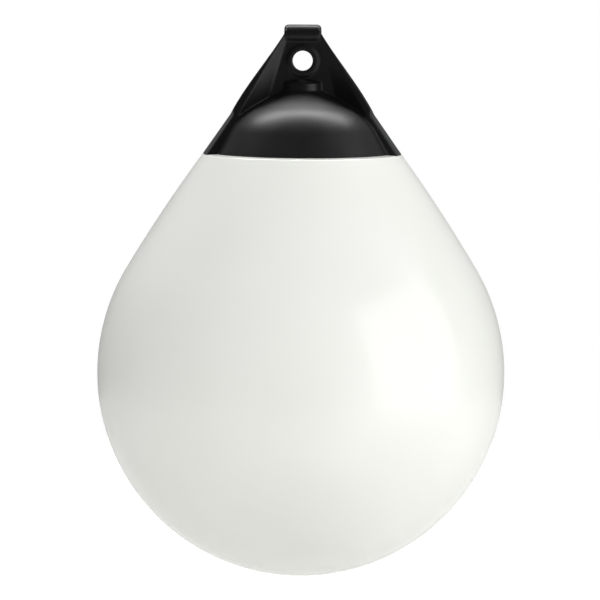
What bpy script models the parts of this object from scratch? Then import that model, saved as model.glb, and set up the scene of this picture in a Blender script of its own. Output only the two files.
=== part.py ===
"""Inflatable ball fender with a moulded rope hold.

Metres, +Z up. The origin is the centre of the rope eye, and the eye's hole runs along Y, so the web stands in
the XZ plane. The ball hangs below. The rope hold is moulded over the neck of the ball, and a slotted screw in
the hub in front of the web closes the inflation valve.
"""

import math

import bmesh
import bpy
from mathutils import Matrix, Vector

MM = 0.001

# Ball: a sphere that runs into a slightly crowned flank, up to the lip where the rope hold begins
BODY_RADIUS = 216 * MM
WALL = 3 * MM
SHOULDER_LEAN = math.radians(31)
NECK_LEAN = math.radians(36.2)
NECK_RADIUS = 104.5 * MM
EYE_TO_SEAM = 97.4 * MM
LEDGE_WIDTH = 9.3 * MM
LIP_ROUND = 2.5 * MM

# Neck of the ball, hidden under the rope hold
LEDGE_SLOPE = math.radians(5)
NECK_ROOF_SLOPE = math.radians(15)
NECK_OPENING_RADIUS = 16 * MM
NECK_ROUND = 5 * MM
MOULD_GAP = 0.3 * MM

# Cap of the rope hold: a steep wall and a shallow conical roof over the neck
CAP_WALL_LEAN = math.radians(31)
CAP_ROOF_SLOPE = math.radians(26.6)
EYE_TO_ROOF_APEX = 21.5 * MM
CAP_WALL = 9.2 * MM
CAP_ROOF = 4.4 * MM
CAP_ROUND = 30 * MM

# Hub in the middle of the roof, with the valve in front of the web
HUB_RADIUS = 20.3 * MM
EYE_TO_HUB_TOP = 18.9 * MM
HUB_CROWN_RADIUS = 50 * MM
HUB_EDGE_ROUND = 2 * MM
HUB_FOOT_ROUND = 3 * MM

# Fin: a wedge plate from the bar down to the lip, with a pocket on each side of the web
BAR_RADIUS = 9.7 * MM
BAR_LENGTH = 39 * MM
BAR_END_ROUND = 4.5 * MM
EYE_TO_BAR = 28 * MM
FIN_TOP_THICKNESS = 18.8 * MM
FIN_DRAFT = math.radians(10.7)
FIN_EDGE_ROUND = 1.6 * MM
FLANGE_TOP_WIDTH = 4.5 * MM
FLANGE_TOP_LEAN = math.radians(31.8)
FLANGE_FOOT_LEAN = math.radians(26.6)
RIB_HEIGHT = 41.6 * MM
RIB_LEAN = math.radians(35)
WEB_THICKNESS = 12 * MM
POCKET_LEAN = math.radians(17)
POCKET_WALL_FLARE = math.radians(53.5)
POCKET_ROUND = 3 * MM

# Rope eye, with a raised rim on both faces of the web
EYE_RADIUS = 11 * MM
EYE_RIM_WIDTH = 5.3 * MM
EYE_RIM_HEIGHT = 2 * MM
EYE_RIM_ROUND = 1.5 * MM

# Valve: a flanged insert in the hub, closed by a slotted screw on a ring seal
VALVE_OFFSET = 12.4 * MM
VALVE_FIT = 0.3 * MM
VALVE_FLANGE_RADIUS = 5.4 * MM
VALVE_FLANGE_THICKNESS = 1.6 * MM
VALVE_BODY_RADIUS = 4.6 * MM
VALVE_BODY_LENGTH = 22 * MM
SCREW_RADIUS = 2.1 * MM
SCREW_LENGTH = 15 * MM
SCREW_HEAD_RADIUS = 3.5 * MM
SCREW_HEAD_THICKNESS = 2 * MM
SCREW_SLOT_WIDTH = 1.2 * MM
SCREW_SLOT_DEPTH = 1.1 * MM
SEAL_THICKNESS = 1 * MM
AIR_HOLE_RADIUS = 1.5 * MM
VALVE_CHAMFER = 0.4 * MM

# Facets
TURN_SIDES = 60
BAR_SIDES = 32
EYE_SIDES = 40
VALVE_SIDES = 24
ARC_STEPS = 4
BALL_STEP = math.radians(7)
FLANGE_STEPS = 12

# How far a form that joins, limits or cuts runs past the face that it meets
REACH = 12 * MM

# Heights and radii that follow from the sizes above
SEAM_Z = -EYE_TO_SEAM
CAP_FOOT_RADIUS = NECK_RADIUS - LEDGE_WIDTH
CAP_CORNER_RADIUS = (
    CAP_FOOT_RADIUS + (SEAM_Z + EYE_TO_ROOF_APEX) * math.tan(CAP_WALL_LEAN)
) / (1 - math.tan(CAP_WALL_LEAN) * math.tan(CAP_ROOF_SLOPE))
CAP_CORNER_Z = -EYE_TO_ROOF_APEX - CAP_CORNER_RADIUS * math.tan(CAP_ROOF_SLOPE)
RIB_TOP_Z = SEAM_Z + RIB_HEIGHT
RIB_TOP_RADIUS = NECK_RADIUS - RIB_HEIGHT * math.tan(RIB_LEAN)
NECK_FOOT_RADIUS = CAP_FOOT_RADIUS - CAP_WALL
NECK_FOOT_Z = SEAM_Z + (NECK_RADIUS - NECK_FOOT_RADIUS) * math.tan(LEDGE_SLOPE)
NECK_TOP_Z = CAP_CORNER_Z - CAP_ROOF
NECK_TOP_RADIUS = NECK_FOOT_RADIUS - (NECK_TOP_Z - NECK_FOOT_Z) * math.tan(CAP_WALL_LEAN)
NECK_RIM_Z = NECK_TOP_Z + (NECK_TOP_RADIUS - NECK_OPENING_RADIUS) * math.tan(NECK_ROOF_SLOPE)
VALVE_TILT = math.asin(VALVE_OFFSET / HUB_CROWN_RADIUS)
VALVE_Z = -EYE_TO_HUB_TOP - HUB_CROWN_RADIUS * (1 - math.cos(VALVE_TILT))


def clear_scene():
    for item in list(bpy.data.objects):
        bpy.data.objects.remove(item, do_unlink=True)


def new_collection(name):
    group = bpy.data.collections.new(name)
    bpy.context.scene.collection.children.link(group)
    return group


def surface(name, colour, roughness, metallic=0.0):
    material = bpy.data.materials.new(name)
    material.use_nodes = True
    shader = material.node_tree.nodes["Principled BSDF"]
    shader.inputs["Base Color"].default_value = (*colour, 1)
    shader.inputs["Roughness"].default_value = roughness
    shader.inputs["Metallic"].default_value = metallic
    return material


def add_object(name, mesh, group):
    item = bpy.data.objects.new(name, mesh)
    group.objects.link(item)
    return item


def mesh_from(name, builder):
    mesh = bpy.data.meshes.new(name)
    bm = bmesh.new()
    builder(bm)
    bm.to_mesh(mesh)
    bm.free()
    return mesh


def rounded(corners):
    """Outline through corners given as (x, z, radius), each turned by an arc of its radius."""
    points = []
    for index, (x, z, radius) in enumerate(corners):
        corner = Vector((x, z))
        if radius == 0 or index in (0, len(corners) - 1):
            points.append(corner)
            continue
        to_last = Vector(corners[index - 1][:2]) - corner
        to_next = Vector(corners[index + 1][:2]) - corner
        half = to_last.angle(to_next) / 2
        reach = min(radius / math.tan(half), 0.45 * to_last.length, 0.45 * to_next.length)
        start = corner + to_last.normalized() * reach
        end = corner + to_next.normalized() * reach
        middle = corner + (to_last.normalized() + to_next.normalized()).normalized() * reach / math.cos(half)
        turn = (start - middle).angle_signed(end - middle)
        for step in range(ARC_STEPS + 1):
            arm = Matrix.Rotation(-turn * step / ARC_STEPS, 2) @ (start - middle)
            points.append(middle + arm)
    return [(point.x, point.y) for point in points]


def arc(middle, radius, start, end, steps):
    """Points on an arc about a middle (x, z), by the rise of the surface's normal above level."""
    points = []
    for step in range(steps + 1):
        rise = start + (end - start) * step / steps
        points.append((middle[0] + radius * math.cos(rise), middle[1] + radius * math.sin(rise)))
    return points


def turned(name, profile, group, sides=TURN_SIDES):
    """Solid turned about its own Z from a profile that runs down its outer side."""
    mesh = bpy.data.meshes.new(name)
    edges = [(index, index + 1) for index in range(len(profile) - 1)]
    mesh.from_pydata([(x, 0, z) for x, z in profile], edges, [])
    item = add_object(name, mesh, group)
    screw = item.modifiers.new("Turn", "SCREW")
    screw.steps = sides
    screw.render_steps = sides
    screw.use_smooth_shade = True
    screw.use_merge_vertices = True
    screw.merge_threshold = 0.01 * MM
    return item


def bevel(item, width, segments=3, angle=math.radians(30)):
    modifier = item.modifiers.new("Rounded edges", "BEVEL")
    modifier.width = width
    modifier.segments = segments
    modifier.limit_method = "ANGLE"
    modifier.angle_limit = angle


def combine(item, tool, operation):
    """Joins a tool to a part, cuts it out or keeps what both share, and leaves the tool as a hidden guide."""
    tool.hide_render = True
    tool.display_type = "WIRE"
    modifier = item.modifiers.new(tool.name, "BOOLEAN")
    modifier.operation = operation
    modifier.object = tool
    modifier.solver = "EXACT"


def lip_and_flank(inset):
    """The flank from the lip down to the shoulder, inset by a wall, as arc points from top to bottom."""
    shoulder = BODY_RADIUS * math.cos(SHOULDER_LEAN)
    radius = (shoulder - NECK_RADIUS) / (math.cos(SHOULDER_LEAN) - math.cos(NECK_LEAN))
    middle = (
        NECK_RADIUS - radius * math.cos(NECK_LEAN),
        SEAM_Z - radius * math.sin(NECK_LEAN),
    )
    flank = arc(middle, radius - inset, NECK_LEAN, SHOULDER_LEAN, 5)
    ball_z = middle[1] + (radius - BODY_RADIUS) * math.sin(SHOULDER_LEAN)
    return flank, ball_z


def ball_arc(ball_z, inset, step):
    """The sphere from the shoulder down to the bottom pole."""
    sweep = SHOULDER_LEAN + math.pi / 2
    points = arc((0, ball_z), BODY_RADIUS - inset, SHOULDER_LEAN, -math.pi / 2, math.ceil(sweep / step))
    points[-1] = (0, points[-1][1])
    return points


def neck_corners(inset):
    """Corners of the neck from its opening out to the lip, inset by a wall on the air side."""
    wall_shift = inset / math.cos(CAP_WALL_LEAN)
    roof_drop = inset / math.cos(NECK_ROOF_SLOPE)
    ledge_drop = inset / math.cos(LEDGE_SLOPE)
    roof_slope = math.tan(NECK_ROOF_SLOPE)
    wall_slope = math.tan(CAP_WALL_LEAN)
    ledge_slope = math.tan(LEDGE_SLOPE)
    rim_z = NECK_RIM_Z - roof_drop
    # Roof line against wall line, then wall line against ledge line
    wall_foot = NECK_FOOT_RADIUS - wall_shift
    top = (wall_foot + (NECK_FOOT_Z - rim_z) * wall_slope - NECK_OPENING_RADIUS * roof_slope * wall_slope) / (
        1 - roof_slope * wall_slope
    )
    top_z = rim_z - (top - NECK_OPENING_RADIUS) * roof_slope
    foot_z = NECK_FOOT_Z + (wall_shift * ledge_slope - ledge_drop) / (1 - ledge_slope * wall_slope)
    foot = wall_foot + (NECK_FOOT_Z - foot_z) * wall_slope
    return (NECK_OPENING_RADIUS, rim_z), (top, top_z), (foot, foot_z)


def make_float_body(group, material):
    """The hollow ball: one vinyl skin from the neck's opening, over the lip and the flank, to the bottom."""
    outer_rim, outer_top, outer_foot = neck_corners(0)
    inner_rim, inner_top, inner_foot = neck_corners(WALL)
    outer_flank, ball_z = lip_and_flank(0)
    inner_flank, _ = lip_and_flank(WALL)
    flank_start = 1
    outside = rounded(
        [
            (*outer_rim, 0),
            (*outer_top, NECK_ROUND),
            (*outer_foot, NECK_ROUND),
            (*outer_flank[0], LIP_ROUND),
            (*outer_flank[flank_start], 0),
        ]
    )
    outside += outer_flank[flank_start + 1 :]
    outside += ball_arc(ball_z, 0, BALL_STEP)[1:]
    # The inner ledge meets the inner flank where the ledge's line crosses it
    ledge_slope = math.tan(LEDGE_SLOPE)
    flank_top, flank_next = inner_flank[0], inner_flank[1]
    fall = (flank_top[1] - flank_next[1]) / (flank_next[0] - flank_top[0])
    reach = (flank_top[1] - inner_foot[1] + ledge_slope * (flank_top[0] - inner_foot[0])) / (fall - ledge_slope)
    corner = (flank_top[0] + reach, flank_top[1] - fall * reach)
    inside = rounded(
        [
            (*inner_rim, 0),
            (*inner_top, NECK_ROUND - WALL),
            (*inner_foot, NECK_ROUND + WALL),
            (*corner, LIP_ROUND),
            (*inner_flank[1], 0),
        ]
    )
    inside += inner_flank[2:]
    inside += ball_arc(ball_z, WALL, 2 * BALL_STEP)[1:]
    body = turned("float_body", inside[::-1] + outside, group)
    body.data.materials.append(material)
    return body


def fin_half_thickness(z):
    return FIN_TOP_THICKNESS / 2 + (EYE_TO_BAR - z) * math.tan(FIN_DRAFT)


def flange_edge():
    """Outer edge of the flange as (x, z) from the bar down to the rib, one cubic with a lean at each end."""
    top_x = BAR_LENGTH / 2
    drop = EYE_TO_BAR - RIB_TOP_Z
    points = []
    for step in range(FLANGE_STEPS + 1):
        s = step / FLANGE_STEPS
        x = (
            top_x * (1 - 3 * s**2 + 2 * s**3)
            + drop * math.tan(FLANGE_TOP_LEAN) * (s - 2 * s**2 + s**3)
            + RIB_TOP_RADIUS * (3 * s**2 - 2 * s**3)
            + drop * math.tan(FLANGE_FOOT_LEAN) * (s**3 - s**2)
        )
        points.append((x, EYE_TO_BAR - drop * s))
    return points


def fin_plate(bm):
    """The wedge plate: its outline in the XZ plane, drawn out to both sides with the mould's draft."""
    edge = flange_edge()
    foot_z = SEAM_Z - REACH
    edge.append((NECK_RADIUS + REACH, foot_z))
    outline = edge + [(-x, z) for x, z in reversed(edge)]
    face = bm.faces.new([bm.verts.new((x, -1, z)) for x, z in outline])
    grown = bmesh.ops.extrude_face_region(bm, geom=[face])["geom"]
    for vertex in [item for item in grown if isinstance(item, bmesh.types.BMVert)]:
        vertex.co.y = 1
    for vertex in bm.verts:
        vertex.co.y *= fin_half_thickness(vertex.co.z)
    bmesh.ops.recalc_face_normals(bm, faces=bm.faces)


def pocket_cutter(bm):
    """A block beside the web whose side walls lean with the flanges and flare towards its mouth."""
    bmesh.ops.create_cube(bm, size=2)
    depth = fin_half_thickness(CAP_CORNER_Z) + REACH - WEB_THICKNESS / 2
    for vertex in bm.verts:
        side, out, up = vertex.co
        z = EYE_TO_BAR if up > 0 else CAP_CORNER_Z
        half = BAR_LENGTH / 2 - FLANGE_TOP_WIDTH + (EYE_TO_BAR - z) * math.tan(POCKET_LEAN)
        y = -WEB_THICKNESS / 2
        if out < 0:
            half += depth * math.tan(POCKET_WALL_FLARE)
            y -= depth
        vertex.co = (side * half, y, z)


def cap_profile():
    """The cap with its hub, from the crown of the hub out and down past the lip."""
    foot = CAP_FOOT_RADIUS + REACH * math.tan(CAP_WALL_LEAN)
    edge_rise = math.acos(HUB_RADIUS / HUB_CROWN_RADIUS)
    crown = arc((0, -EYE_TO_HUB_TOP - HUB_CROWN_RADIUS), HUB_CROWN_RADIUS, math.pi / 2, edge_rise, 4)
    crown[0] = (0, crown[0][1])
    shape = rounded(
        [
            (*crown[-2], 0),
            (*crown[-1], HUB_EDGE_ROUND),
            (HUB_RADIUS, -EYE_TO_ROOF_APEX - HUB_RADIUS * math.tan(CAP_ROOF_SLOPE), HUB_FOOT_ROUND),
            (CAP_CORNER_RADIUS, CAP_CORNER_Z, CAP_ROUND),
            (foot, SEAM_Z - REACH, 0),
        ]
    )
    return crown[:-2] + shape + [(0, SEAM_Z - REACH)]


def envelope_profile():
    """Limits of the fin: the rib's cone up to its shoulder, then a straight wall clear of the flanges."""
    top_z = EYE_TO_BAR + BAR_RADIUS + REACH
    foot = NECK_RADIUS + REACH * math.tan(RIB_LEAN)
    low_z = SEAM_Z - 2 * REACH
    return [
        (0, top_z),
        (RIB_TOP_RADIUS, top_z),
        (RIB_TOP_RADIUS, RIB_TOP_Z),
        (foot, SEAM_Z - REACH),
        (foot, low_z),
        (0, low_z),
    ]


def underside_profile():
    """The neck and the ledge of the ball, grown by the moulding gap, with all that lies below."""
    grown = neck_corners(-MOULD_GAP)
    (rim, rim_z), (top, top_z), (foot, foot_z) = grown
    far = NECK_RADIUS + 3 * REACH
    far_z = foot_z - (far - foot) * math.tan(LEDGE_SLOPE)
    shape = rounded(
        [(rim, rim_z, 0), (top, top_z, NECK_ROUND), (foot, foot_z, NECK_ROUND), (far, far_z, 0)]
    )
    low_z = far_z - 3 * REACH
    return [(0, rim_z)] + shape + [(far, low_z), (0, low_z)]


def eye_rim_profile():
    outer = EYE_RADIUS + EYE_RIM_WIDTH
    face = WEB_THICKNESS / 2 + EYE_RIM_HEIGHT
    return rounded(
        [(0, face, 0), (outer, face, EYE_RIM_ROUND), (outer, -face, EYE_RIM_ROUND), (0, -face, 0)]
    )


def eye_hole_profile():
    """The hole with a rounded mouth on both faces of the rim."""
    face = WEB_THICKNESS / 2 + EYE_RIM_HEIGHT
    wide = EYE_RADIUS + EYE_RIM_ROUND
    mouth = arc((wide, face - EYE_RIM_ROUND), -EYE_RIM_ROUND, -math.pi / 2, 0, ARC_STEPS)
    half = [(wide, face + REACH)] + mouth
    return [(0, face + REACH)] + half + [(x, -z) for x, z in reversed(half)] + [(0, -face - REACH)]


def valve_axis_matrix():
    return Matrix.Translation((0, -VALVE_OFFSET, VALVE_Z)) @ Matrix.Rotation(VALVE_TILT, 4, "X")


def valve_seat_profile():
    """Room for the insert along the valve's axis, and the air hole below it."""
    flange = VALVE_FLANGE_RADIUS + VALVE_FIT
    body = VALVE_BODY_RADIUS + VALVE_FIT
    flange_z = -VALVE_FLANGE_THICKNESS - VALVE_FIT
    body_z = -VALVE_BODY_LENGTH - VALVE_FIT
    through_z = NECK_RIM_Z - VALVE_Z - REACH
    above = VALVE_FLANGE_THICKNESS + VALVE_FIT
    return [
        (0, above),
        (flange, above),
        (flange, flange_z),
        (body, flange_z),
        (body, body_z),
        (AIR_HOLE_RADIUS, body_z),
        (AIR_HOLE_RADIUS, min(through_z, body_z - REACH)),
        (0, min(through_z, body_z - REACH)),
    ]


def make_rope_hold(group, cutters, material):
    """One moulding: fin, bar, web, eye rim, cap and hub, with the neck's room cut from below."""
    hold_part = add_object("rope_hold", mesh_from("rope_hold", fin_plate), group)
    hold_part.data.materials.append(material)
    bevel(hold_part, FIN_EDGE_ROUND, angle=math.radians(60))
    combine(hold_part, turned("fin_limits", envelope_profile(), cutters), "INTERSECT")
    for name, turn in (("pocket_front", 0), ("pocket_back", math.pi)):
        pocket = add_object(name, mesh_from(name, pocket_cutter), cutters)
        pocket.rotation_euler.z = turn
        bevel(pocket, POCKET_ROUND)
        combine(hold_part, pocket, "DIFFERENCE")

    def bar_form(bm):
        bmesh.ops.create_cone(
            bm,
            cap_ends=True,
            segments=BAR_SIDES,
            radius1=BAR_RADIUS,
            radius2=BAR_RADIUS,
            depth=BAR_LENGTH,
            matrix=Matrix.Rotation(math.pi / 2, 4, "Y"),
        )

    bar = add_object("bar_form", mesh_from("bar_form", bar_form), cutters)
    bar.location.z = EYE_TO_BAR
    bevel(bar, BAR_END_ROUND, segments=4, angle=math.radians(60))
    combine(hold_part, bar, "UNION")
    combine(hold_part, turned("cap_form", cap_profile(), cutters), "UNION")
    rim = turned("eye_rim_form", eye_rim_profile(), cutters, EYE_SIDES)
    rim.rotation_euler.x = math.pi / 2
    combine(hold_part, rim, "UNION")
    eye = turned("eye_hole", eye_hole_profile(), cutters, EYE_SIDES)
    eye.rotation_euler.x = math.pi / 2
    combine(hold_part, eye, "DIFFERENCE")
    seat = turned("valve_seat", valve_seat_profile(), cutters, VALVE_SIDES)
    seat.matrix_world = valve_axis_matrix()
    combine(hold_part, seat, "DIFFERENCE")
    combine(hold_part, turned("neck_room", underside_profile(), cutters), "DIFFERENCE")
    return hold_part


def make_valve(group, cutters, materials):
    """Insert, ring seal and slotted screw, stacked along the tilted valve axis."""
    axis = bpy.data.objects.new("valve_axis", None)
    axis.matrix_world = valve_axis_matrix()
    group.objects.link(axis)

    bore = SCREW_RADIUS + VALVE_FIT
    head_room = SCREW_HEAD_RADIUS + VALVE_FIT
    head_top = -VALVE_FIT
    head_under = head_top - SCREW_HEAD_THICKNESS
    seal_top = head_under - VALVE_FIT
    seal_floor = seal_top - SEAL_THICKNESS - VALVE_FIT
    insert = turned(
        "valve_insert",
        [
            (bore, -VALVE_BODY_LENGTH),
            (bore, seal_floor),
            (head_room, seal_floor),
            (head_room, -VALVE_CHAMFER),
            (head_room + VALVE_CHAMFER, 0),
            (VALVE_FLANGE_RADIUS - VALVE_CHAMFER, 0),
            (VALVE_FLANGE_RADIUS, -VALVE_CHAMFER),
            (VALVE_FLANGE_RADIUS, -VALVE_FLANGE_THICKNESS),
            (VALVE_BODY_RADIUS, -VALVE_FLANGE_THICKNESS),
            (VALVE_BODY_RADIUS, -VALVE_BODY_LENGTH),
            (bore, -VALVE_BODY_LENGTH),
        ],
        group,
        VALVE_SIDES,
    )
    insert.data.materials.append(materials["valve_plastic"])
    insert.parent = axis

    screw = turned(
        "valve_screw",
        [
            (0, head_top),
            (SCREW_HEAD_RADIUS - VALVE_CHAMFER, head_top),
            (SCREW_HEAD_RADIUS, head_top - VALVE_CHAMFER),
            (SCREW_HEAD_RADIUS, head_under),
            (SCREW_RADIUS, head_under),
            (SCREW_RADIUS, head_under - SCREW_LENGTH + 2 * VALVE_CHAMFER),
            (SCREW_RADIUS - 2 * VALVE_CHAMFER, head_under - SCREW_LENGTH),
            (0, head_under - SCREW_LENGTH),
        ],
        group,
        VALVE_SIDES,
    )
    screw.data.materials.append(materials["screw_plastic"])
    screw.parent = axis

    def slot_form(bm):
        bmesh.ops.create_cube(bm, size=1)
        bmesh.ops.scale(
            bm,
            vec=(3 * SCREW_HEAD_RADIUS, SCREW_SLOT_WIDTH, 2 * SCREW_SLOT_DEPTH),
            verts=bm.verts,
        )

    slot = add_object("screw_slot", mesh_from("screw_slot", slot_form), cutters)
    slot.location.z = head_top
    slot.parent = axis
    combine(screw, slot, "DIFFERENCE")

    seal_major = SCREW_RADIUS + VALVE_FIT + SEAL_THICKNESS / 2
    ring = arc((seal_major, 0), SEAL_THICKNESS / 2, math.pi, -math.pi, 8)
    seal = turned("valve_seal", ring, group, VALVE_SIDES)
    seal.location.z = seal_top - SEAL_THICKNESS / 2
    seal.data.materials.append(materials["seal_rubber"])
    seal.parent = axis


def main():
    clear_scene()
    group = new_collection("ball_fender")
    cutters = new_collection("cutters")
    materials = {
        "white_vinyl": surface("white_vinyl", (0.86, 0.87, 0.81), 0.3),
        "black_vinyl": surface("black_vinyl", (0.012, 0.012, 0.013), 0.35),
        "valve_plastic": surface("valve_plastic", (0.02, 0.02, 0.021), 0.4),
        "screw_plastic": surface("screw_plastic", (0.035, 0.035, 0.036), 0.35),
        "seal_rubber": surface("seal_rubber", (0.01, 0.01, 0.01), 0.7),
    }
    make_float_body(group, materials["white_vinyl"])
    make_rope_hold(group, cutters, materials["black_vinyl"])
    make_valve(group, cutters, materials)
    bpy.context.view_layer.update()


main()
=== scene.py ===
"""Looks of an inflatable ball fender: a white vinyl ball hanging from a black moulded rope hold.

Laid out as an add-on and run as a script. Metres, +Z up. The origin is the centre of the rope eye, the hole
of the eye runs along Y and the front faces -Y.
"""

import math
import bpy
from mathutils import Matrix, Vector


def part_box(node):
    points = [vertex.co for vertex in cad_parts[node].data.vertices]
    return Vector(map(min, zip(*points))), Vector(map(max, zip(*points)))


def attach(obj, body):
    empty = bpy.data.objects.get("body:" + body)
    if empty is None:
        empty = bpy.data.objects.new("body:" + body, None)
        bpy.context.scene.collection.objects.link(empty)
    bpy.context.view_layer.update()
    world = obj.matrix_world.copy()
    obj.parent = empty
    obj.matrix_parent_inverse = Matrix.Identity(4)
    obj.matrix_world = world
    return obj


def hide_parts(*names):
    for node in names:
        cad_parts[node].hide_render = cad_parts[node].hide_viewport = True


bl_info = {
    "name": "Ball fender",
    "version": (1, 0, 0),
    "blender": (4, 5, 0),
    "location": "3D View > Sidebar > Fender",
    "description": "Dresses the packed ball fender in moulded vinyl and sets it in a plain studio",
    "category": "Object",
}

import bpy
from mathutils import Matrix, Vector

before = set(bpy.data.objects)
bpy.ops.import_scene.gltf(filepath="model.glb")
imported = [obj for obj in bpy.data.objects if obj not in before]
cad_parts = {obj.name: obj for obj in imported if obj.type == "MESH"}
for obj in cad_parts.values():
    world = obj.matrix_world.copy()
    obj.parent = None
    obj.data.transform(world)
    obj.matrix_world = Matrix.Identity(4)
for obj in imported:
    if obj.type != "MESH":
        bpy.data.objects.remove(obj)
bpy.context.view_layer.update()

MM = 0.001
BODY_LOW, BODY_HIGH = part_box("float_body")
BALL_RADIUS = (BODY_HIGH.x - BODY_LOW.x) / 2
BAR_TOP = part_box("rope_hold")[1].z

# How far a form that joins, limits or cuts runs past the face that it meets
REACH = 12 * MM

# Points nearer to each other than this are one point
WELD = 0.001 * MM

# Steps of a full turn
SKIN_STEPS = 192
MOULDING_STEPS = 240
ROD_STEPS = 96
EYE_STEPS = 128
SEAT_STEPS = 64

# Steps of a corner's arc, and the most of a side that such an arc takes
ARC_STEPS = 8
ARC_SHARE = 0.45

# Bends sharper than these, in degrees, look like edges
SKIN_CREASE = 40
MOULDING_CREASE = 50

# Nearly all of a noise pattern lies between these values
NOISE_LOW = 0.2
NOISE_HIGH = 0.8

# Refractive index of plasticised PVC, and of nylon, acetal and nitrile rubber
PVC_IOR = 1.53
VALVE_IOR = 1.5


def srgb(code):
    """Linear colour of an sRGB hex value such as #F1F2EC."""
    linear = []
    for start in (1, 3, 5):
        value = int(code[start : start + 2], 16) / 255
        linear.append(value / 12.92 if value <= 0.04045 else ((value + 0.055) / 1.055) ** 2.4)
    return tuple(linear)


def length(name, description, millimetres):
    return bpy.props.FloatProperty(
        name=name, description=description, default=millimetres * MM, unit="LENGTH"
    )


def angle(name, description, degrees):
    return bpy.props.FloatProperty(
        name=name, description=description, default=math.radians(degrees), unit="ROTATION"
    )


def colour(name, description, code):
    return bpy.props.FloatVectorProperty(
        name=name, description=description, default=srgb(code), subtype="COLOR", size=3
    )


class FenderBallSizes(bpy.types.PropertyGroup):
    """Sizes of the blown vinyl ball."""

    radius: length("Radius", "Radius of the ball at its widest", BALL_RADIUS / MM)
    bottom: length("Bottom", "Height of the ball's lowest point", BODY_LOW.z / MM)
    wall: length("Wall", "Thickness of the vinyl skin", 3)
    shoulder: angle("Shoulder lean", "Lean of the flank where it leaves the ball", 31)
    lip_lean: angle("Lip lean", "Lean of the flank at the lip", 36.2)
    lip_radius: length("Lip radius", "Radius of the lip around the rope hold", 104.5)
    lip_height: length("Lip height", "Height of the lip", -97.4)
    lip_round: length("Lip round", "Rounding of the lip", 2.5)
    ledge: length("Ledge", "Width of the ledge inside the lip", 9.3)
    ledge_slope: angle("Ledge slope", "Rise of the ledge towards the middle", 5)
    neck_round: length("Neck round", "Rounding of the neck's bends", 5)
    neck_slope: angle("Neck roof slope", "Rise of the roof of the neck", 15)
    opening: length("Neck opening", "Radius of the opening in the neck's roof", 16)


class FenderHoldSizes(bpy.types.PropertyGroup):
    """Sizes of the moulded rope hold."""

    cap_lean: angle("Cap wall lean", "Lean of the cap's wall", 31)
    cap_wall: length("Cap wall", "Thickness of the cap's wall", 9.2)
    cap_roof: length("Cap roof", "Thickness of the cap's roof", 4.4)
    cap_round: length("Cap shoulder", "Rounding between the cap's wall and roof", 65)
    roof_slope: angle("Roof slope", "Slope of the cap's roof", 26.6)
    roof_apex: length("Roof apex", "Drop from the rope eye to the point of the roof", 21.5)
    hub_radius: length("Hub radius", "Radius of the valve's hub", 20.3)
    hub_top: length("Hub top", "Drop from the rope eye to the top of the hub", 18.9)
    hub_crown: length("Hub crown", "Radius of the hub's crowned top", 50)
    hub_edge: length("Hub edge round", "Rounding of the hub's top edge", 2)
    hub_foot: length("Hub foot round", "Rounding between the hub and the roof", 3)
    bar_radius: length("Bar radius", "Radius of the bar over the rope eye", 9.7)
    bar_length: length("Bar length", "Length of the bar", 39)
    bar_round: length("Bar end round", "Rounding of the bar's ends", 4.5)
    fin_top: length("Fin thickness", "Thickness of the fin at the bar", 18.8)
    fin_draft: angle("Fin draft", "Lean of each face of the fin", 10.7)
    fin_round: length("Fin edge round", "Rounding of the fin's long edges", 1.6)
    flange_width: length("Flange width", "Width of the flange's edge at the bar", 4.5)
    flange_top_lean: angle("Flange lean, top", "Lean of the flange's edge at the bar", 31.8)
    flange_foot_lean: angle("Flange lean, foot", "Lean of the flange's edge at the rib", 26.6)
    rib_height: length("Rib height", "Height of the ribs above the lip", 41.6)
    rib_lean: angle("Rib lean", "Lean of the ribs' outer cone", 35)
    web: length("Web", "Thickness of the web around the rope eye", 12)
    pocket_lean: angle("Pocket lean", "Lean of the pocket's sides", 17)
    pocket_flare: angle("Pocket flare", "Flare of the pocket's sides towards its mouth", 53.5)
    pocket_round: length("Pocket round", "Rounding of the pocket's corners", 1.5)
    eye_radius: length("Eye radius", "Radius of the rope eye", 11)
    eye_growth: length("Eye growth", "How much the softening of the moulding widens the eye", 0.5)
    rim_width: length("Rim width", "Width of the eye's rim", 5.3)
    rim_height: length("Rim height", "Height of the eye's rim above the web", 2)
    grain: length("Surface step", "Size of the cells that the moulding is rounded with", 1.04)


class FenderValveSizes(bpy.types.PropertyGroup):
    """Sizes of the inflation valve's seat in the hub."""

    offset: length("Offset", "Distance of the valve in front of the web's middle", 12.4)
    fit: length("Fit", "Clearance between the valve's pieces", 0.3)
    flange_radius: length("Flange radius", "Radius of the insert's flange", 5.4)
    flange_height: length("Flange height", "Height of the insert's flange", 1.6)
    body_radius: length("Body radius", "Radius of the insert's body", 4.6)
    body_length: length("Body length", "Length of the insert", 22)
    air_hole: length("Air hole", "Radius of the air hole", 1.5)


class FenderFinish(bpy.types.PropertyGroup):
    """Colours of the mouldings."""

    white_light: colour("White, light", "Body colour of the white vinyl", "#F3F4EF")
    white_dark: colour("White, dark", "The white vinyl's faintly greyer patches", "#EFF0EA")
    black_light: colour("Black, light", "The black vinyl's paler patches", "#0F0F10")
    black_dark: colour("Black, dark", "Body colour of the black vinyl", "#080809")
    valve: colour("Valve", "Colour of the valve's insert", "#18181A")
    screw: colour("Screw", "Colour of the valve's screw", "#222224")
    seal: colour("Seal", "Colour of the ring seal", "#101010")


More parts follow.
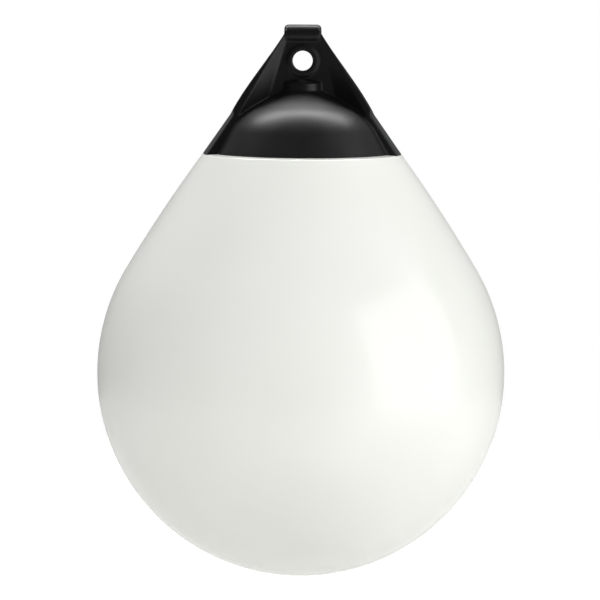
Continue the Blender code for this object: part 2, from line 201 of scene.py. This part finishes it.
class FenderStudio(bpy.types.PropertyGroup):
    """Camera and floor."""

    camera_distance: length("Camera distance", "From the camera to the web's plane", 2600)
    camera_height: length("Camera height", "Height of the camera above the rope eye", 62)
    aim_x: length("Aim X", "Where the camera looks, to the right", -1.3)
    aim_z: length("Aim Z", "Where the camera looks, in height", -252.6)
    view_width: length("View width", "Width of the picture at the web's plane", 636)
    roll: angle("Roll", "Roll of the camera", 0.35)
    floor_drop: length("Floor drop", "Drop from the ball's bottom to the floor", 300)
    floor_size: length("Floor size", "Side of the square floor", 5000)


def deselect_all():
    if bpy.context.mode != "OBJECT":
        bpy.ops.object.mode_set(mode="OBJECT")
    bpy.ops.object.select_all(action="DESELECT")


def pick(piece):
    """Selects one piece and nothing else."""
    deselect_all()
    piece.select_set(True)
    bpy.context.view_layer.objects.active = piece


def edit(piece):
    """Opens a piece in edit mode with all of it selected."""
    pick(piece)
    bpy.ops.object.mode_set(mode="EDIT")
    bpy.ops.mesh.select_mode(type="VERT")
    bpy.ops.mesh.select_all(action="SELECT")


def close_edit():
    bpy.ops.object.mode_set(mode="OBJECT")


def added(name):
    """The primitive that was just added, under its name."""
    piece = bpy.context.view_layer.objects.active
    piece.name = name
    piece.data.name = name
    return piece


def settle(piece):
    """Puts a piece's place, turn and size into its mesh, so that its object sits at the origin."""
    pick(piece)
    bpy.ops.object.transform_apply(location=True, rotation=True, scale=True)


def apply(piece, kind, **settings):
    """Adds a modifier with its settings and applies it."""
    modifier = piece.modifiers.new(kind.title(), kind)
    for name, value in settings.items():
        setattr(modifier, name, value)
    pick(piece)
    bpy.ops.object.modifier_apply(modifier=modifier.name)


def merge_form(piece, tool, operation):
    """Joins a form to a piece, cuts it out or keeps what both share, and removes the form."""
    apply(piece, "BOOLEAN", operation=operation, object=tool, solver="EXACT")
    bpy.data.objects.remove(tool)


def rounded(corners, steps=ARC_STEPS):
    """Outline through corners given as (x, z, radius), each turned by an arc of its radius."""
    points = []
    for index, (x, z, radius) in enumerate(corners):
        corner = Vector((x, z))
        if radius == 0 or index in (0, len(corners) - 1):
            points.append(corner)
            continue
        to_last = Vector(corners[index - 1][:2]) - corner
        to_next = Vector(corners[index + 1][:2]) - corner
        half = to_last.angle(to_next) / 2
        reach = min(radius / math.tan(half), ARC_SHARE * to_last.length, ARC_SHARE * to_next.length)
        to_last.normalize()
        to_next.normalize()
        start = corner + to_last * reach
        end = corner + to_next * reach
        middle = corner + (to_last + to_next).normalized() * reach / math.cos(half)
        turn = (start - middle).angle_signed(end - middle)
        for step in range(steps + 1):
            points.append(middle + Matrix.Rotation(-turn * step / steps, 2) @ (start - middle))
    return [(point.x, point.y) for point in points]


def arc(middle, radius, start, end, steps):
    """Points on an arc about a middle (x, z), by the rise of its normal above level."""
    points = []
    for step in range(steps + 1):
        rise = start + (end - start) * step / steps
        points.append((middle[0] + radius * math.cos(rise), middle[1] + radius * math.sin(rise)))
    return points


def spun(name, outline, steps):
    """A turned piece: an outline drawn point by point in the XZ plane and spun about Z."""
    deselect_all()
    bpy.ops.mesh.primitive_plane_add(size=MM, location=(0, 0, 0))
    piece = added(name)
    edit(piece)
    bpy.ops.mesh.merge(type="CENTER")
    bpy.ops.transform.translate(value=(outline[0][0], 0, outline[0][1]))
    for (x0, z0), (x1, z1) in zip(outline, outline[1:]):
        bpy.ops.mesh.extrude_vertices_move(TRANSFORM_OT_translate={"value": (x1 - x0, 0, z1 - z0)})
    bpy.ops.mesh.select_all(action="SELECT")
    bpy.ops.mesh.spin(steps=steps, angle=math.tau, center=(0, 0, 0), axis=(0, 0, 1))
    bpy.ops.mesh.select_all(action="SELECT")
    bpy.ops.mesh.remove_doubles(threshold=WELD)
    bpy.ops.mesh.normals_make_consistent(inside=False)
    close_edit()
    return piece


def smooth_shading(piece, crease):
    """Shades a piece smooth, apart from bends sharper than a crease in degrees."""
    pick(piece)
    bpy.ops.object.shade_smooth_by_angle(angle=math.radians(crease))


def finish_piece(piece, material, node):
    """Gives a finished piece its material, slot and body, in place of its CAD node."""
    piece.data.materials.clear()
    piece.data.materials.append(material)
    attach(piece, "root")
    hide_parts(node)


def add_node(tree, kind, inputs=None, **settings):
    """Adds a node with its settings. An input that is another node's output is linked to it."""
    node = tree.nodes.new(kind)
    for name, value in settings.items():
        setattr(node, name, value)
    for name, value in (inputs or {}).items():
        if isinstance(value, bpy.types.NodeSocket):
            tree.links.new(value, node.inputs[name])
        else:
            node.inputs[name].default_value = value
    return node


def new_material(name):
    """A material with its node tree, its shader and its place on the object."""
    material = bpy.data.materials.new(name)
    material.use_nodes = True
    tree = material.node_tree
    shader = tree.nodes["Principled BSDF"]
    place = add_node(tree, "ShaderNodeTexCoord")
    return material, tree, shader, place.outputs["Object"]


def patches(tree, place, size, low, high, detail=2.0):
    """Cloudy patches of about a size, whose value runs from low to high."""
    clouds = add_node(tree, "ShaderNodeTexNoise", {"Vector": place, "Scale": 1 / size, "Detail": detail})
    levels = {"From Min": NOISE_LOW, "From Max": NOISE_HIGH, "To Min": low, "To Max": high}
    return add_node(
        tree, "ShaderNodeMapRange", {"Value": clouds.outputs["Fac"], **levels}
    ).outputs["Result"]


def tint_patches(tree, shader, place, first, second, size, detail=2.0):
    """Colours a surface in patches of about a size, between two colours."""
    share = patches(tree, place, size, low=0, high=1, detail=detail)
    tone = add_node(
        tree, "ShaderNodeMix", {0: share, 6: (*first, 1), 7: (*second, 1)}, data_type="RGBA"
    )
    tree.links.new(tone.outputs[2], shader.inputs["Base Color"])


def mould_texture(tree, shader, place, grain, height, strength, detail=2.0):
    """Raises a fine grain on a surface, as its mould leaves it."""
    grains = add_node(tree, "ShaderNodeTexNoise", {"Vector": place, "Scale": 1 / grain, "Detail": detail})
    relief = add_node(
        tree,
        "ShaderNodeBump",
        {"Height": grains.outputs["Fac"], "Distance": height, "Strength": strength},
    )
    tree.links.new(relief.outputs["Normal"], shader.inputs["Normal"])


def white_blown_vinyl(finish):
    """Blown plasticised PVC, taken from a polished mould.

    It is glossy, and a softbox shows in it with a soft edge. The skin has a faint orange peel and slightly
    uneven pigment.
    """
    material, tree, shader, place = new_material("white_blown_vinyl")
    tint_patches(tree, shader, place, finish.white_light, finish.white_dark, size=90 * MM, detail=0.5)
    sheen = patches(tree, place, size=60 * MM, low=0.17, high=0.21, detail=0.5)
    tree.links.new(sheen, shader.inputs["Roughness"])
    mould_texture(tree, shader, place, grain=6 * MM, height=0.04 * MM, strength=0.5, detail=1.0)
    shader.inputs["IOR"].default_value = PVC_IOR
    return material


def black_moulded_vinyl(finish):
    """Injection moulded PVC from a finely sparked mould.

    It is semi-gloss and nearly black, and its highlights are broad and grey. The spark grain is too fine to
    show, so it is drawn coarser than real.
    """
    material, tree, shader, place = new_material("black_moulded_vinyl")
    tint_patches(tree, shader, place, finish.black_dark, finish.black_light, size=30 * MM)
    handled = patches(tree, place, size=18 * MM, low=0.37, high=0.43, detail=4.0)
    tree.links.new(handled, shader.inputs["Roughness"])
    mould_texture(tree, shader, place, grain=1.1 * MM, height=0.03 * MM, strength=0.6)
    shader.inputs["IOR"].default_value = PVC_IOR
    shader.inputs["Specular IOR Level"].default_value = 0.35
    return material


def small_moulding(name, tint, roughness, height):
    """A small moulding of the valve, even and satin, with a mould texture drawn coarser than real."""
    material, tree, shader, place = new_material(name)
    shade = 0.8
    uneven = 0.05
    darker = tuple(channel * shade for channel in tint)
    tint_patches(tree, shader, place, tint, darker, size=4 * MM)
    handled = patches(tree, place, size=2 * MM, low=roughness - uneven, high=roughness + uneven)
    tree.links.new(handled, shader.inputs["Roughness"])
    mould_texture(tree, shader, place, grain=0.5 * MM, height=height, strength=0.6)
    shader.inputs["IOR"].default_value = VALVE_IOR
    return material


def neck_corners(ball, hold, inset):
    """Corners of the ball's neck from its opening to the ledge, inset by a wall on the air side."""
    wall = math.tan(hold.cap_lean)
    roof = math.tan(ball.neck_slope)
    ledge = math.tan(ball.ledge_slope)
    cap_foot = ball.lip_radius - ball.ledge
    foot = cap_foot - hold.cap_wall
    foot_z = ball.lip_height + (ball.lip_radius - foot) * ledge
    _, corner_z = cap_corner(ball, hold)
    top_z = corner_z - hold.cap_roof
    top = foot - (top_z - foot_z) * wall
    rim_z = top_z + (top - ball.opening) * roof - inset / math.cos(ball.neck_slope)
    foot_line = foot - inset / math.cos(hold.cap_lean)
    inner_top = (foot_line + (foot_z - rim_z) * wall - ball.opening * roof * wall) / (1 - roof * wall)
    inner_top_z = rim_z - (inner_top - ball.opening) * roof
    # The wall's line meets the ledge's line, which has dropped by the inset
    ledge_z = foot_z - inset / math.cos(ball.ledge_slope)
    shift = foot - foot_line
    inner_foot_z = (ledge_z + (shift - foot_z * wall) * ledge) / (1 - ledge * wall)
    inner_foot = foot_line + (foot_z - inner_foot_z) * wall
    return (ball.opening, rim_z), (inner_top, inner_top_z), (inner_foot, inner_foot_z)


def cap_corner(ball, hold):
    """Where the line of the cap's wall meets the line of its roof."""
    foot = ball.lip_radius - ball.ledge
    wall = math.tan(hold.cap_lean)
    slope = math.tan(hold.roof_slope)
    radius = (foot + (ball.lip_height + hold.roof_apex) * wall) / (1 - wall * slope)
    return radius, -hold.roof_apex - radius * slope


def flank_arc(ball, inset, steps):
    """The crowned flank from the lip to the shoulder, and the height of the ball's middle."""
    shoulder = ball.radius * math.cos(ball.shoulder)
    radius = (shoulder - ball.lip_radius) / (math.cos(ball.shoulder) - math.cos(ball.lip_lean))
    middle = (
        ball.lip_radius - radius * math.cos(ball.lip_lean),
        ball.lip_height - radius * math.sin(ball.lip_lean),
    )
    ball_z = middle[1] + (radius - ball.radius) * math.sin(ball.shoulder)
    return arc(middle, radius - inset, ball.lip_lean, ball.shoulder, steps), ball_z


def skin_outline(ball, hold, inset, steps, ball_steps):
    """One side of the ball's skin, from the neck's opening out over the lip and down to the bottom."""
    flank, ball_z = flank_arc(ball, inset, steps)
    rim, top, foot = neck_corners(ball, hold, inset)
    lip, lip_z = flank[0]
    # The lip's rounding takes the place of the flank's first steps
    joined = steps // 12
    outline = rounded(
        [
            (*rim, 0),
            (*top, ball.neck_round - inset),
            (*foot, ball.neck_round + inset),
            (lip - inset * math.tan(ball.ledge_slope), lip_z, ball.lip_round),
            (*flank[joined], 0),
        ],
        steps // 3,
    )
    outline += flank[joined + 1 :]
    return outline + arc((0, ball_z), ball.radius - inset, ball.shoulder, -math.pi / 2, ball_steps)[1:]


class FENDER_OT_float_body(bpy.types.Operator):
    """Models the hollow white ball with its neck, and gives it its blown vinyl"""

    bl_idname = "fender.float_body"
    bl_label = "Float body"

    def execute(self, context):
        ball = context.scene.fender_ball
        hold = context.scene.fender_hold
        outside = skin_outline(ball, hold, inset=0, steps=24, ball_steps=60)
        # The inside isn't seen, so it has fewer steps
        inside = skin_outline(ball, hold, inset=ball.wall, steps=12, ball_steps=40)
        skin = spun("float_body_skin", inside[::-1] + outside, SKIN_STEPS)
        smooth_shading(skin, SKIN_CREASE)
        material = white_blown_vinyl(context.scene.fender_finish)
        finish_piece(skin, material, "float_body")
        return {"FINISHED"}


def flange_half_width(ball, hold, share):
    """Half width of the fin a share of the way from the bar down to the ribs, as one cubic."""
    rib_top = ball.lip_radius - hold.rib_height * math.tan(hold.rib_lean)
    drop = BAR_TOP - hold.bar_radius - ball.lip_height - hold.rib_height
    return (
        hold.bar_length / 2 * (1 - 3 * share**2 + 2 * share**3)
        + drop * math.tan(hold.flange_top_lean) * (share - 2 * share**2 + share**3)
        + rib_top * (3 * share**2 - 2 * share**3)
        + drop * math.tan(hold.flange_foot_lean) * (share**3 - share**2)
    )


def fin_half_thickness(hold, z):
    return hold.fin_top / 2 + (BAR_TOP - hold.bar_radius - z) * math.tan(hold.fin_draft)


def round_edges(form, radius, segments, bend):
    """Rounds the edges of a form that turn by more than a bend in degrees."""
    apply(
        form,
        "BEVEL",
        width=radius,
        segments=segments,
        limit_method="ANGLE",
        angle_limit=math.radians(bend),
    )


def fin_form(ball, hold):
    """The wedge plate, drawn down from the bar in steps, each as wide and thick as the fin is there."""
    top = BAR_TOP - hold.bar_radius
    rib_z = ball.lip_height + hold.rib_height
    half_width = hold.bar_length / 2
    half_thick = fin_half_thickness(hold, top)
    stub = 4 * MM
    deselect_all()
    bpy.ops.mesh.primitive_cube_add(size=1)
    fin = added("rope_hold_moulding")
    bpy.ops.transform.resize(value=(2 * half_width, 2 * half_thick, stub))
    bpy.ops.transform.translate(value=(0, 0, top + stub / 2))
    settle(fin)
    edit(fin)
    bpy.ops.mesh.select_mode(type="FACE")
    bpy.ops.mesh.select_all(action="DESELECT")
    close_edit()
    # The face that looks down is drawn down
    for face in fin.data.polygons:
        face.select = face.normal.z < -0.9
    bpy.ops.object.mode_set(mode="EDIT")
    steps = 24
    rows = []
    for step in range(1, steps + 1):
        share = step / steps
        rows.append((top + (rib_z - top) * share, flange_half_width(ball, hold, share)))
    rows.append((ball.lip_height - REACH, ball.lip_radius + REACH))
    z = top
    for next_z, next_half in rows:
        next_thick = fin_half_thickness(hold, next_z)
        bpy.ops.mesh.extrude_region_move(TRANSFORM_OT_translate={"value": (0, 0, next_z - z)})
        bpy.ops.transform.resize(
            value=(next_half / half_width, next_thick / half_thick, 1), center_override=(0, 0, next_z)
        )
        half_width, half_thick, z = next_half, next_thick, next_z
    close_edit()
    round_edges(fin, hold.fin_round, segments=4, bend=60)
    return fin


def fin_limits(ball, hold):
    """A turned form that ends the fin at the ribs' outer cone."""
    rib_z = ball.lip_height + hold.rib_height
    rib_top = ball.lip_radius - hold.rib_height * math.tan(hold.rib_lean)
    high = BAR_TOP + REACH
    foot = ball.lip_radius + REACH * math.tan(hold.rib_lean)
    foot_z = ball.lip_height - REACH
    low = foot_z - REACH
    outline = [(0, high), (rib_top, high), (rib_top, rib_z), (foot, foot_z), (foot, low), (0, low)]
    return spun("fin_limits", outline, MOULDING_STEPS)


def pocket_form(ball, hold, side):
    """A block beside the web whose walls lean with the flanges and flare towards its mouth."""
    top = BAR_TOP - hold.bar_radius
    _, low = cap_corner(ball, hold)
    depth = fin_half_thickness(hold, low) + REACH - hold.web / 2
    deselect_all()
    bpy.ops.mesh.primitive_cube_add(size=2)
    pocket = added("pocket_form")
    for vertex in pocket.data.vertices:
        across, out, up = vertex.co
        z = top if up > 0 else low
        half = hold.bar_length / 2 - hold.flange_width + (top - z) * math.tan(hold.pocket_lean)
        y = hold.web / 2
        if out > 0:
            half += depth * math.tan(hold.pocket_flare)
            y += depth
        vertex.co = (across * half, side * y, z)
    edit(pocket)
    bpy.ops.mesh.normals_make_consistent(inside=False)
    close_edit()
    round_edges(pocket, hold.pocket_round, segments=6, bend=30)
    return pocket


def cap_outline(ball, hold):
    """The cap with its hub, from the crown of the hub out and down past the lip."""
    corner, corner_z = cap_corner(ball, hold)
    foot = ball.lip_radius - ball.ledge + REACH * math.tan(hold.cap_lean)
    foot_z = ball.lip_height - REACH
    edge_rise = math.acos(hold.hub_radius / hold.hub_crown)
    crown_steps = 12
    crown_middle = (0, -hold.hub_top - hold.hub_crown)
    crown = arc(crown_middle, hold.hub_crown, math.pi / 2, edge_rise, crown_steps)
    hub_foot_z = -hold.roof_apex - hold.hub_radius * math.tan(hold.roof_slope)
    shape = rounded(
        [
            (*crown[-2], 0),
            (*crown[-1], hold.hub_edge),
            (hold.hub_radius, hub_foot_z, hold.hub_foot),
            (corner, corner_z, hold.cap_round),
            (foot, foot_z, 0),
        ],
        3 * ARC_STEPS,
    )
    return [(0, crown[0][1])] + crown[1:-2] + shape + [(0, foot_z)]


def turned_rod(name, radius, depth, middle, axis, sides):
    """A plain round form about an axis, used to join or cut."""
    deselect_all()
    turn = Vector((0, 0, 1)).rotation_difference(Vector(axis)).to_euler()
    bpy.ops.mesh.primitive_cylinder_add(
        vertices=sides, radius=radius, depth=depth, location=middle, rotation=turn
    )
    rod = added(name)
    settle(rod)
    return rod


def neck_room(ball, hold, valve):
    """The room inside the moulding for the ball's neck and ledge, with a clearance."""
    (rim, rim_z), (top, top_z), (foot, foot_z) = neck_corners(ball, hold, -valve.fit)
    far = ball.lip_radius + 3 * REACH
    far_z = foot_z - (far - foot) * math.tan(ball.ledge_slope)
    low = far_z - 3 * REACH
    bend = ball.neck_round
    face = rounded([(rim, rim_z, 0), (top, top_z, bend), (foot, foot_z, bend), (far, far_z, 0)])
    return spun("neck_room", [(0, rim_z), *face, (far, low), (0, low)], MOULDING_STEPS)


def valve_place(hold, valve):
    """Middle of the valve's top and its axis, square to the hub's crown."""
    tilt = math.asin(valve.offset / hold.hub_crown)
    top = -hold.hub_top - hold.hub_crown * (1 - math.cos(tilt))
    return Matrix.Translation((0, -valve.offset, top)) @ Matrix.Rotation(tilt, 4, "X")


def valve_seat(hold, valve):
    """The stepped hole that the valve's insert sits in, with the air hole through to the ball."""
    flange = valve.flange_radius + valve.fit
    body = valve.body_radius + valve.fit
    mouth_z = 2 * valve.flange_height
    flange_z = -valve.flange_height - valve.fit
    body_z = -valve.body_length - valve.fit
    air_z = -valve.body_length - REACH
    outline = [
        (0, mouth_z),
        (flange, mouth_z),
        (flange, flange_z),
        (body, flange_z),
        (body, body_z),
        (valve.air_hole, body_z),
        (valve.air_hole, air_z),
        (0, air_z),
    ]
    seat = spun("valve_seat", outline, SEAT_STEPS)
    seat.matrix_world = valve_place(hold, valve)
    settle(seat)
    return seat


class FENDER_OT_rope_hold(bpy.types.Operator):
    """Models the black rope hold as one rounded moulding, and gives it its vinyl"""

    bl_idname = "fender.rope_hold"
    bl_label = "Rope hold"

    def execute(self, context):
        ball = context.scene.fender_ball
        hold = context.scene.fender_hold
        valve = context.scene.fender_valve
        moulding = fin_form(ball, hold)
        merge_form(moulding, fin_limits(ball, hold), "INTERSECT")
        for side in (-1, 1):
            merge_form(moulding, pocket_form(ball, hold, side), "DIFFERENCE")
        bar_middle = (0, 0, BAR_TOP - hold.bar_radius)
        bar = turned_rod("bar_form", hold.bar_radius, hold.bar_length, bar_middle, (1, 0, 0), ROD_STEPS)
        round_edges(bar, hold.bar_round, segments=8, bend=60)
        merge_form(moulding, bar, "UNION")
        merge_form(moulding, spun("cap_form", cap_outline(ball, hold), MOULDING_STEPS), "UNION")
        rim_radius = hold.eye_radius + hold.rim_width
        rim_depth = hold.web + 2 * hold.rim_height
        rim = turned_rod("rim_form", rim_radius, rim_depth, (0, 0, 0), (0, 1, 0), ROD_STEPS)
        merge_form(moulding, rim, "UNION")
        bore_radius = hold.eye_radius - hold.eye_growth
        bore_depth = 4 * rim_depth
        bore = turned_rod("eye_form", bore_radius, bore_depth, (0, 0, 0), (0, 1, 0), EYE_STEPS)
        merge_form(moulding, bore, "DIFFERENCE")
        # The whole moulding is softened as one, before the neck's room and the valve's seat are cut crisp
        apply(moulding, "REMESH", mode="VOXEL", voxel_size=hold.grain)
        apply(moulding, "SMOOTH", factor=0.5, iterations=3)
        merge_form(moulding, neck_room(ball, hold, valve), "DIFFERENCE")
        merge_form(moulding, valve_seat(hold, valve), "DIFFERENCE")
        smooth_shading(moulding, MOULDING_CREASE)
        material = black_moulded_vinyl(context.scene.fender_finish)
        finish_piece(moulding, material, "rope_hold")
        return {"FINISHED"}


class FENDER_OT_valve(bpy.types.Operator):
    """Gives the valve's insert, screw and seal their finishes"""

    bl_idname = "fender.valve"
    bl_label = "Valve"

    def execute(self, context):
        finish = context.scene.fender_finish
        finishes = {
            "valve_insert": small_moulding("satin_nylon", finish.valve, roughness=0.4, height=0.02 * MM),
            "valve_screw": small_moulding("turned_acetal", finish.screw, roughness=0.35, height=0.02 * MM),
            "valve_seal": small_moulding("nitrile_rubber", finish.seal, roughness=0.6, height=0.03 * MM),
        }
        for name, material in finishes.items():
            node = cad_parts[name]
            node.data.materials.clear()
            node.data.materials.append(material)
        return {"FINISHED"}


def studio_world():
    """White to the camera. It lights mostly from the front, and gloss sees a pale sweep behind."""
    world = bpy.data.worlds.new("studio")
    bpy.context.scene.world = world
    world.use_nodes = True
    tree = world.node_tree
    tree.nodes.clear()
    paths = add_node(tree, "ShaderNodeLightPath")
    direction = add_node(tree, "ShaderNodeTexCoord").outputs["Generated"]
    depth = add_node(tree, "ShaderNodeSeparateXYZ", {"Vector": direction}).outputs["Y"]
    sweep = add_node(
        tree,
        "ShaderNodeMapRange",
        {"Value": depth, "From Min": -0.2, "From Max": 0.9, "To Min": 0.05, "To Max": 0.32},
        interpolation_type="SMOOTHSTEP",
    ).outputs["Result"]
    gloss = add_node(
        tree,
        "ShaderNodeMath",
        {0: paths.outputs["Is Glossy Ray"], 1: paths.outputs["Is Transmission Ray"]},
        operation="MAXIMUM",
    ).outputs["Value"]
    room = add_node(
        tree,
        "ShaderNodeMapRange",
        {"Value": depth, "From Min": -1.0, "From Max": 0.45, "To Min": 1.2, "To Max": 0.1},
        interpolation_type="SMOOTHSTEP",
    ).outputs["Result"]
    level = add_node(
        tree, "ShaderNodeMix", {"Factor": gloss, "A": room, "B": sweep}, data_type="FLOAT"
    ).outputs["Result"]
    seen = add_node(
        tree,
        "ShaderNodeMix",
        {"Factor": paths.outputs["Is Camera Ray"], "A": level, "B": 1.0},
        data_type="FLOAT",
    ).outputs["Result"]
    light = add_node(tree, "ShaderNodeBackground", {"Color": (1, 1, 1, 1), "Strength": seen})
    add_node(tree, "ShaderNodeOutputWorld", {"Surface": light.outputs["Background"]})


def softbox(name, place, aim, size, watts, unseen_by):
    """A rectangular lamp. The camera never sees it, nor does one kind of ray, glossy or diffuse."""
    lamp = bpy.data.lights.new(name, "AREA")
    lamp.shape = "RECTANGLE"
    lamp.size, lamp.size_y = size
    lamp.energy = watts
    item = bpy.data.objects.new(name, lamp)
    item.visible_camera = False
    setattr(item, "visible_" + unseen_by, False)
    item.location = place
    item.rotation_euler = (Vector(aim) - Vector(place)).to_track_quat("-Z", "Y").to_euler()
    bpy.context.scene.collection.objects.link(item)


def studio_lights():
    """Softboxes beside, above and behind the fender. Each one lights it or shows in its gloss."""
    middle = (0, 0, -0.3)
    softbox("key_softbox", (1.85, -0.6, 0.05), middle, size=(1.6, 1.9), watts=15.5, unseen_by="glossy")
    softbox("side_window", (1.75, -0.8, 0.1), middle, size=(2.1, 2.2), watts=25, unseen_by="diffuse")
    softbox("top_softbox", (0, 0.73, 1.9), (0, 0, -0.05), size=(3.0, 0.6), watts=74, unseen_by="diffuse")
    softbox("top_fill", (-0.24, 1.2, 1.75), (0, 0, -0.2), size=(1.6, 0.8), watts=48, unseen_by="glossy")
    softbox("back_fill", (0, 3.0, 0.2), middle, size=(2.5, 2.0), watts=8, unseen_by="glossy")


def seamless_paper():
    """Pale seamless paper, matt and faintly fibrous. The camera sees it near white, with a soft shadow."""
    material, tree, shader, place = new_material("seamless_paper")
    tint_patches(tree, shader, place, srgb("#E9E9E7"), srgb("#E4E4E2"), size=3 * MM)
    shader.inputs["Roughness"].default_value = 0.9
    glow_to_camera = 0.6
    paths = add_node(tree, "ShaderNodeLightPath")
    glow = add_node(
        tree,
        "ShaderNodeMath",
        {0: paths.outputs["Is Camera Ray"], 1: glow_to_camera},
        operation="MULTIPLY",
    ).outputs["Value"]
    shader.inputs["Emission Color"].default_value = (1, 1, 1, 1)
    tree.links.new(glow, shader.inputs["Emission Strength"])
    return material


def studio_camera(scene, studio):
    camera_data = bpy.data.cameras.new("camera")
    camera = bpy.data.objects.new("camera", camera_data)
    scene.collection.objects.link(camera)
    scene.camera = camera
    place = Vector((studio.aim_x, -studio.camera_distance, studio.camera_height))
    aim = Vector((studio.aim_x, 0, studio.aim_z))
    camera.location = place
    look = (aim - place).to_track_quat("-Z", "Y")
    camera.rotation_euler = (look.to_matrix() @ Matrix.Rotation(studio.roll, 3, "Z")).to_euler()
    camera_data.lens = camera_data.sensor_width * (aim - place).length / studio.view_width


class FENDER_OT_stage(bpy.types.Operator):
    """Sets the camera, the floor and the studio's light"""

    bl_idname = "fender.stage"
    bl_label = "Studio"

    def execute(self, context):
        scene = context.scene
        studio = scene.fender_studio
        floor_place = (0, 0, scene.fender_ball.bottom - studio.floor_drop)
        deselect_all()
        bpy.ops.mesh.primitive_plane_add(size=studio.floor_size, location=floor_place)
        floor = added("floor")
        settle(floor)
        floor.data.materials.append(seamless_paper())
        studio_world()
        studio_lights()
        studio_camera(scene, studio)
        scene.view_settings.view_transform = "Standard"
        return {"FINISHED"}


class FENDER_PT_panel(bpy.types.Panel):
    """Lists the fender's pieces and its studio"""

    bl_idname = "FENDER_PT_panel"
    bl_label = "Ball fender"
    bl_space_type = "VIEW_3D"
    bl_region_type = "UI"
    bl_category = "Fender"

    def draw(self, context):
        for operator in OPERATORS:
            self.layout.operator(operator.bl_idname)


OPERATORS = (FENDER_OT_float_body, FENDER_OT_rope_hold, FENDER_OT_valve, FENDER_OT_stage)
GROUPS = {
    "fender_ball": FenderBallSizes,
    "fender_hold": FenderHoldSizes,
    "fender_valve": FenderValveSizes,
    "fender_finish": FenderFinish,
    "fender_studio": FenderStudio,
}


def register():
    for item in (*GROUPS.values(), *OPERATORS, FENDER_PT_panel):
        bpy.utils.register_class(item)
    for name, group in GROUPS.items():
        setattr(bpy.types.Scene, name, bpy.props.PointerProperty(type=group))


def unregister():
    for name in GROUPS:
        delattr(bpy.types.Scene, name)
    for item in reversed((*GROUPS.values(), *OPERATORS, FENDER_PT_panel)):
        bpy.utils.unregister_class(item)


def main():
    register()
    bpy.ops.fender.float_body()
    bpy.ops.fender.rope_hold()
    bpy.ops.fender.valve()
    bpy.ops.fender.stage()


if __name__ == "__main__":
    main()
